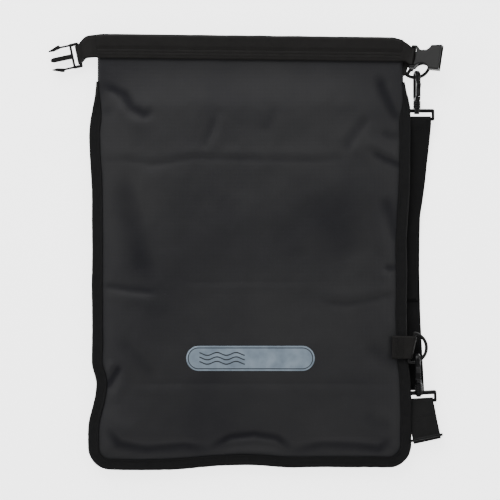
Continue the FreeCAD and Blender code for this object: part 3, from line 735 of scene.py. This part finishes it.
collar_rows = []
for row in STITCH_Y:
    collar_rows += collar_row(row / COLLAR_W * 2 - 1)
collar_rows += collar_row(STAY_Y / COLLAR_W * 2 - 1 + 0.02)
collar_stitches = stitches("collar_stitching", collar_rows, "collar")

# Webbing tabs. The collar's own webbing runs on past its ends, narrows, goes round each buckle's bar and back
# under itself, and is sewn across. Shorter pieces hold the two D-rings to the side seam.
SAMPLES = 900
BAR_STEPS = 8
WEB_T, WEB_SKIN = 1.1, 1.05
SNUG = 0.22


def turned(yaw, rise=0.0, roll=0.0):
    """Turn of a part rolled about its own X, tipped up along X, then turned about Z, in degrees."""
    turn = Matrix.Rotation(math.radians(yaw), 3, "Z") @ Matrix.Rotation(math.radians(-rise), 3, "Y")
    return turn @ Matrix.Rotation(math.radians(roll), 3, "X")


def round_bar(centre, across, start, turn, radius):
    """Stations round a bar: start is the first direction out from it, turn the signed angle."""
    axis = Vector(across).normalized()
    spots = []
    for i in range(BAR_STEPS + 1):
        out = Matrix.Rotation(math.radians(turn * i / BAR_STEPS), 3, axis) @ Vector(start).normalized()
        spots.append((Vector(centre) + out * radius, Vector(across), None))
    return spots


def smooth_value(points, t):
    """Catmull-Rom point on a list of vectors, t from 0 to 1 along it."""
    at = min(max(t, 0.0), 1.0) * (len(points) - 1)
    i = min(int(at), len(points) - 2)
    f = at - i
    p1, p2 = points[i], points[i + 1]
    p0 = points[i - 1] if i > 0 else p1 * 2 - p2
    p3 = points[i + 2] if i + 2 < len(points) else p2 * 2 - p1
    square = 2 * p0 - 5 * p1 + 4 * p2 - p3
    cube = 3 * p1 - p0 - 3 * p2 + p3
    return 0.5 * (2 * p1 + (p2 - p0) * f + square * f * f + cube * f ** 3)


def webbing(name, surface, stations, width, seed, across=12, step=0.8):
    """Webbing through (centre, across, width or None) stations, in millimetres: one folded sheet."""
    centres = [Vector(c) for c, _, _ in stations]
    sides = [Vector(a).normalized() for _, a, _ in stations]
    widths = [Vector((w or width, 0, 0)) for _, _, w in stations]
    fine = [smooth_value(centres, i / SAMPLES) for i in range(SAMPLES + 1)]
    lengths = [0.0]
    for p, q in zip(fine, fine[1:]):
        lengths.append(lengths[-1] + (q - p).length)
    rows = max(int(lengths[-1] / step), 8)
    spots = []
    j = 0
    for i in range(rows + 1):
        goal = lengths[-1] * i / rows
        while j < SAMPLES - 1 and lengths[j + 1] < goal:
            j += 1
        f = (goal - lengths[j]) / max(lengths[j + 1] - lengths[j], 1e-9)
        t = (j + f) / SAMPLES
        side = smooth_value(sides, t).normalized()
        spots.append((fine[j].lerp(fine[j + 1], f), side, smooth_value(widths, t).x / 2))

    def place(u, t):
        centre, side, half = spots[round(t * rows)]
        sway = 0.18 * noise.noise(Vector((t * lengths[-1] * 0.07, seed, 0)))
        return (centre + side * (u * half + sway)) * MM

    made = laid_grid(name, surface, place, across, rows, WEB_SKIN, (width, lengths[-1]), 0.0)
    return made, spots


BAR_R = 1.3
MALE_AT, MALE_TURN = Vector((-181.9, 209.5, 6.0)), turned(192)
FEMALE_AT, FEMALE_TURN = Vector((171.5, 206.5, 15.0)), turned(-3, 24, -15)
TOP_RING_AT, TOP_RING_TURN = Vector((175.0, 200.9, 7.0)), turned(-35)
LOW_RING_AT, LOW_RING_TURN = Vector((171.0, -101.5, 13.9)), turned(-12)
RING_WIRE_R = 1.8
tab_r = BAR_R * math.sqrt(2) + SNUG + WEB_T / 2
ring_r = RING_WIRE_R + SNUG + WEB_T / 2
Y_DOWN = Vector((0, -1, 0))
Z_UP = Vector((0, 0, 1))
LEFT_END, RIGHT_END = 162, 160

left_y = COLLAR_Y + COLLAR_W / 2 - SLOPE * LEFT_END
bend = round_bar(MALE_AT, MALE_TURN @ Vector((0, 1, 0)), Z_UP, 180, tab_r)
stations = [
    (Vector((-155.0, left_y + 0.1, 14.4)), Y_DOWN, 24.2),
    (Vector((-162.0, left_y, 14.3)), Y_DOWN, 24.2),
    (Vector((-168.5, left_y - 0.4, 13.4)), Y_DOWN, 24.2),
    (Vector((-174.0, left_y - 1.2, 11.4)), Y_DOWN, 23.6),
    (Vector((-178.4, left_y - 3.0, 9.4)), Y_DOWN, 21.0),
] + bend + [
    (Vector((-174.0, left_y - 2.4, 4.4)), Y_DOWN, 20.0),
    (Vector((-162.4, left_y - 1, 5.4)), Y_DOWN, 20.0),
]
male_tab, male_spots = webbing("male_buckle_webbing", collar_webbing, stations, 20.0, seed=3.0)
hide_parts("male_tab")
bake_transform(male_tab)

right_y = COLLAR_Y + COLLAR_W / 2 + SLOPE * RIGHT_END
across = FEMALE_TURN @ Vector((0, -1, 0))
bend = round_bar(FEMALE_AT, across, FEMALE_TURN @ Z_UP, -180, tab_r)
stations = [
    (Vector((153.0, right_y, 14.8)), Y_DOWN, 24.0),
    (Vector((159.0, right_y - 0.6, 14.9)), Y_DOWN, 23.6),
    (Vector((164.5, right_y - 2.6, 16.2)), Y_DOWN, 20.6),
] + bend + [
    (Vector((166.5, right_y - 4.4, 11.9)), Y_DOWN, 19.0),
    (Vector((162.0, right_y - 4, 11.2)), Y_DOWN, 19.0),
]
female_tab, _ = webbing("female_buckle_webbing", collar_webbing, stations, 19.0, seed=5.0)
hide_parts("female_tab")
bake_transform(female_tab)

bend = round_bar(TOP_RING_AT, TOP_RING_TURN @ Vector((0, -1, 0)), Z_UP, -170, ring_r)
stations = [
    (Vector((161.6, 196.0, 9.0)), Y_DOWN, None),
    (Vector((165.0, 197.6, 9.6)), Y_DOWN, None),
    (TOP_RING_AT + TOP_RING_TURN @ Vector((-6.5, 0, 2.6)), Vector((-0.3, -1, 0)), None),
] + bend
top_tab, _ = webbing("top_ring_webbing", collar_webbing, stations, 19.0, seed=8.0)
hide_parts("top_ring_tab")
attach(top_tab, "bag")

bend = round_bar(LOW_RING_AT, LOW_RING_TURN @ Vector((0, -1, 0)), Z_UP, -180, ring_r)
stations = [
    (Vector((150.0, -101.0, 19.2)), Y_DOWN, None),
    (Vector((155.5, -101.0, 17.3)), Y_DOWN, None),
    (Vector((161.5, -101.2, 15.3)), Y_DOWN, None),
    (Vector((166.5, -101.3, 15.6)), Y_DOWN, None),
] + bend + [(Vector((166.8, -101.3, 11.4)), Y_DOWN, None)]
low_tab, low_spots = webbing("lower_ring_webbing", collar_webbing, stations, 24.5, seed=11.0)
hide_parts("lower_ring_loop")
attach(low_tab, "bag")


ROW_LIFT = 0.66


def across_row(spots, place, reach):
    """A stitch line across webbing at a share of its length, raised off its face."""
    i = round(place * (len(spots) - 1))
    centre, side, half = spots[i]
    ahead = spots[min(i + 1, len(spots) - 1)][0] - spots[max(i - 1, 0)][0]
    up = side.cross(ahead).normalized()
    up = up if up.z > 0 else -up
    ends = [(centre + side * half * reach * s + up * ROW_LIFT) * MM for s in (-1, 1)]
    return stitch_row([ends[0].lerp(ends[1], k / 60) for k in range(61)], 1.9, 0.6)


rows = []
for share in (0.03, 0.12):
    rows += across_row(male_spots, share, 0.86)
stitches("male_webbing_stitching", rows, "collar")
rows = []
for share in (0.12, 0.2, 0.38):
    rows += across_row(low_spots, share, 0.86)
stitches("lower_webbing_stitching", rows, "bag")

# Shoulder strap. One length of 30 mm polyester webbing from the upper hook's base, laid in zigzag folds
# under the bag's right edge, and a sewn loop of it from the lower hook's base to the slide adjuster. It is
# woven with a coarse rib whose deep grooves are drawn as bump, and its colour is set darker than the
# collar's.
strap_webbing = woven("strap_webbing", "#060606", "#0f0f10", 1.4, 1.2, rough=0.66, strength=0.7)
BASE_BAR_HALF, BASE_BAR_Z, BASE_SLOT, BASE_BAR = 1.65, 1.0, 5.3, 4.0
BASE_START, BASE_DROP = 0.3, 0.9
BASE_TAIL = 6.0
wrap_r = math.hypot(BASE_BAR_HALF, BASE_BAR_Z) + SNUG + WEB_T / 2
X_RIGHT = Vector((1, 0, 0))
LOW, MID, HIGH = 0.7, 2.0, 3.3


def base_turns(origin, yaw, rise):
    """Webbing round a hook base's bar, from underneath to the top."""
    turn = Matrix.Rotation(math.radians(yaw), 3, "Z") @ Matrix.Rotation(math.radians(rise), 3, "X")
    down = -BASE_START - BASE_BAR - BASE_SLOT - BASE_BAR_HALF
    bar = Vector(origin) + turn @ Vector((0, down, -BASE_DROP))
    run = turn @ X_RIGHT
    tail = (bar + turn @ Vector((0, -BASE_TAIL, -wrap_r)), run, None)
    return tail, round_bar(bar, run, turn @ Vector((0, 0, -1)), 180, wrap_r)


def fold(x, y, top, low, way):
    """A hard fold back on itself: way is the direction that it bulges in."""
    middle, reach = (top + low) / 2, abs(top - low) / 2
    out, over = 0.7, 0.72
    return [
        (Vector((x, y - way * 1.0, top)), X_RIGHT, None),
        (Vector((x, y + way * reach * out, middle + (top - middle) * over)), X_RIGHT, None),
        (Vector((x, y + way * reach, middle)), X_RIGHT, None),
        (Vector((x, y + way * reach * out, middle + (low - middle) * over)), X_RIGHT, None),
        (Vector((x, y - way * 1.0, low)), X_RIGHT, None),
    ]


tail, turns = base_turns((176.8, 152.3, 7.0), 0, 0)
stations = [tail] + turns + [
    (Vector((176.9, 136.0, 7.6)), X_RIGHT, None),
    (Vector((176.0, 122.0, 4.2)), X_RIGHT, None),
    (Vector((174.2, 106.0, HIGH)), X_RIGHT, None),
    (Vector((169.8, 66.0, HIGH)), X_RIGHT, None),
    (Vector((164.2, 26.0, HIGH)), X_RIGHT, None),
    (Vector((163.4, -12.0, HIGH)), X_RIGHT, None),
] + fold(163.4, -48.0, HIGH, MID, -1) + [
    (Vector((163.8, 20.0, MID)), X_RIGHT, None),
    (Vector((166.0, 70.0, MID)), X_RIGHT, None),
] + fold(168.0, 108.0, MID, LOW, 1) + [
    (Vector((166.0, 50.0, LOW)), X_RIGHT, None),
    (Vector((164.8, -10.0, LOW)), X_RIGHT, None),
    (Vector((165.5, -50.0, LOW)), X_RIGHT, None),
    (Vector((166.0, -72.0, MID)), X_RIGHT, None),
    (Vector((168.0, -110.0, MID)), X_RIGHT, None),
] + fold(169.8, -145.0, MID, LOW, -1) + [
    (Vector((168.4, -122.0, LOW)), X_RIGHT, None),
    (Vector((167.0, -98.5, LOW)), X_RIGHT, None),
]
strap, strap_spots = webbing(
    "shoulder_strap_webbing", strap_webbing, stations, 30.0, seed=14.0, across=16, step=0.9
)
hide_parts("strap_upper_run", "strap_middle_run", "strap_lower_run", "strap_tucked_run")
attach(strap, "bag")

# The end loop is the same webbing, painted a little paler on its face as painted light.
painted_light_end_webbing = woven("strap_end_webbing", "#0d0d0d", "#1b1b1b", 1.4, 1.2, rough=0.66, strength=0.7)
ADJUSTER_AT, ADJUSTER_TURN = Vector((187.2, -197.5, 8.2)), turned(11.7)
tail, turns = base_turns((178.9, -147.6, 7.3), 3, 11)
SLIDE_BAR = 2.4
slide_r = math.hypot(SLIDE_BAR, SLIDE_BAR) / 2 + SNUG + WEB_T / 2
loop = round_bar(ADJUSTER_AT, ADJUSTER_TURN @ X_RIGHT, Z_UP, 180, slide_r)
end_loop, end_spots = webbing(
    "strap_end_webbing", painted_light_end_webbing, turns + loop + [tail], 29.5, seed=17.0, across=16
)
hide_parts("strap_end_loop")
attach(end_loop, "bag")
rows = across_row(end_spots, 0.27, 0.88) + across_row(end_spots, 0.33, 0.88)
rows += across_row(strap_spots, 0.022, 0.88) + across_row(strap_spots, 0.036, 0.88)
stitches("strap_stitching", rows, "bag")

# Buckle, rings, hooks and adjuster. Injection-moulded black acetal, and nylon that looks the same for the
# rings and the adjuster: crisp edges with a small moulded radius, a fine spark-eroded grain that keeps the
# sheen soft, and faint flow marks.
SPARK = 2600.0  # grain of 0.4 mm, coarser than the real one
FLOW = 110.0  # marks of 9 mm
PALER = 1.5
GLOSS_SPREAD = 0.06


def moulded(name, colour, rough):
    """Black acetal with a fine spark-eroded grain and a faint flow pattern in its tone and gloss."""
    made, tree, main = material(name, Specular_IOR_Level=0.2)
    place = add(tree, "ShaderNodeTexCoord").outputs["Object"]
    grain = add(tree, "ShaderNodeTexNoise", Vector=place, Scale=SPARK, Detail=3.0)
    flow = add(tree, "ShaderNodeTexNoise", Vector=place, Scale=FLOW, Detail=2.0, Distortion=1.5)
    tone = add(tree, "ShaderNodeValToRGB", Fac=flow.outputs["Fac"])
    tone.color_ramp.elements[0].color = linear(colour)
    tone.color_ramp.elements[1].color = [c * PALER for c in linear(colour)[:3]] + [1.0]
    tree.links.new(tone.outputs["Color"], main.inputs["Base Color"])
    gloss = add(
        tree, "ShaderNodeMapRange", Value=flow.outputs["Fac"],
        To_Min=rough - GLOSS_SPREAD, To_Max=rough + GLOSS_SPREAD,
    )
    tree.links.new(gloss.outputs["Result"], main.inputs["Roughness"])
    bump = add(tree, "ShaderNodeBump", Strength=0.22, Distance=0.00004, Height=grain.outputs["Fac"])
    tree.links.new(bump.outputs["Normal"], main.inputs["Normal"])
    return made


acetal = moulded("black_acetal", "#060606", 0.46)
hook_acetal = moulded("black_hook_acetal", "#060607", 0.34)


ROOT_END = 9.5
WELD = 1e-6
RELAX, RELAX_TIMES = 0.5, 5


def eased(node, body, surface, slot, voxel, root=0.0, stretch=1.0):
    """A copy of a hard part, remeshed and relaxed so that its edges have a moulded radius. The root is how
    far a buckle arm is drawn into its frame, and the stretch closes a gate on its hook."""
    bm = bmesh.new()
    bm.from_mesh(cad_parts[node].data)
    bmesh.ops.remove_doubles(bm, verts=bm.verts, dist=WELD)
    for v in bm.verts:
        local = MALE_TURN.inverted() @ (v.co / MM - MALE_AT)
        if root and local.x < ROOT_END:
            v.co += MALE_TURN @ Vector((-root, 0, 0)) * MM
    middle = sum((v.co for v in bm.verts), Vector()) / len(bm.verts)
    for v in bm.verts:
        v.co.y = middle.y + (v.co.y - middle.y) * stretch
    rough = finish_mesh(bm, node + "_rough", surface)
    fine = rough.modifiers.new("fine", "REMESH")
    fine.mode = "VOXEL"
    fine.voxel_size = voxel * MM
    relax = rough.modifiers.new("ease", "SMOOTH")
    relax.factor = RELAX
    relax.iterations = RELAX_TIMES
    live = bpy.context.evaluated_depsgraph_get()
    mesh = bpy.data.meshes.new_from_object(rough.evaluated_get(live))
    bpy.data.objects.remove(rough)
    mesh.name = node + "_moulding"
    mesh.polygons.foreach_set("use_smooth", [True] * len(mesh.polygons))
    made = bpy.data.objects.new(node + "_moulding", mesh)
    scene.collection.objects.link(made)
    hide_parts(node)
    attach(made, body)
    return made


HARD = [
    ("male_buckle", "male_half", acetal, "buckle_plastic", 0.3),
    ("female_buckle", "female_half", acetal, "buckle_plastic", 0.3),
    ("top_ring", "top_ring", acetal, "ring_plastic", 0.3),
    ("lower_ring", "lower_ring", acetal, "ring_plastic", 0.3),
    ("upper_hook_base", "bag", hook_acetal, "hook_plastic", 0.3),
    ("upper_hook", "upper_hook", hook_acetal, "hook_plastic", 0.26),
    ("lower_hook_base", "bag", hook_acetal, "hook_plastic", 0.3),
    ("lower_hook", "lower_hook", hook_acetal, "hook_plastic", 0.26),
    ("adjuster", "adjuster", acetal, "ring_plastic", 0.3),
]
for node, body, surface, slot, voxel in HARD:
    eased(node, body, surface, slot, voxel)
for side in ("lower", "upper"):
    eased("buckle_arm_" + side, side + "_arm", acetal, "buckle_plastic", 0.25, root=1.6)
    eased(side + "_hook_gate", side + "_gate", hook_acetal, "hook_plastic", 0.25, stretch=1.05)
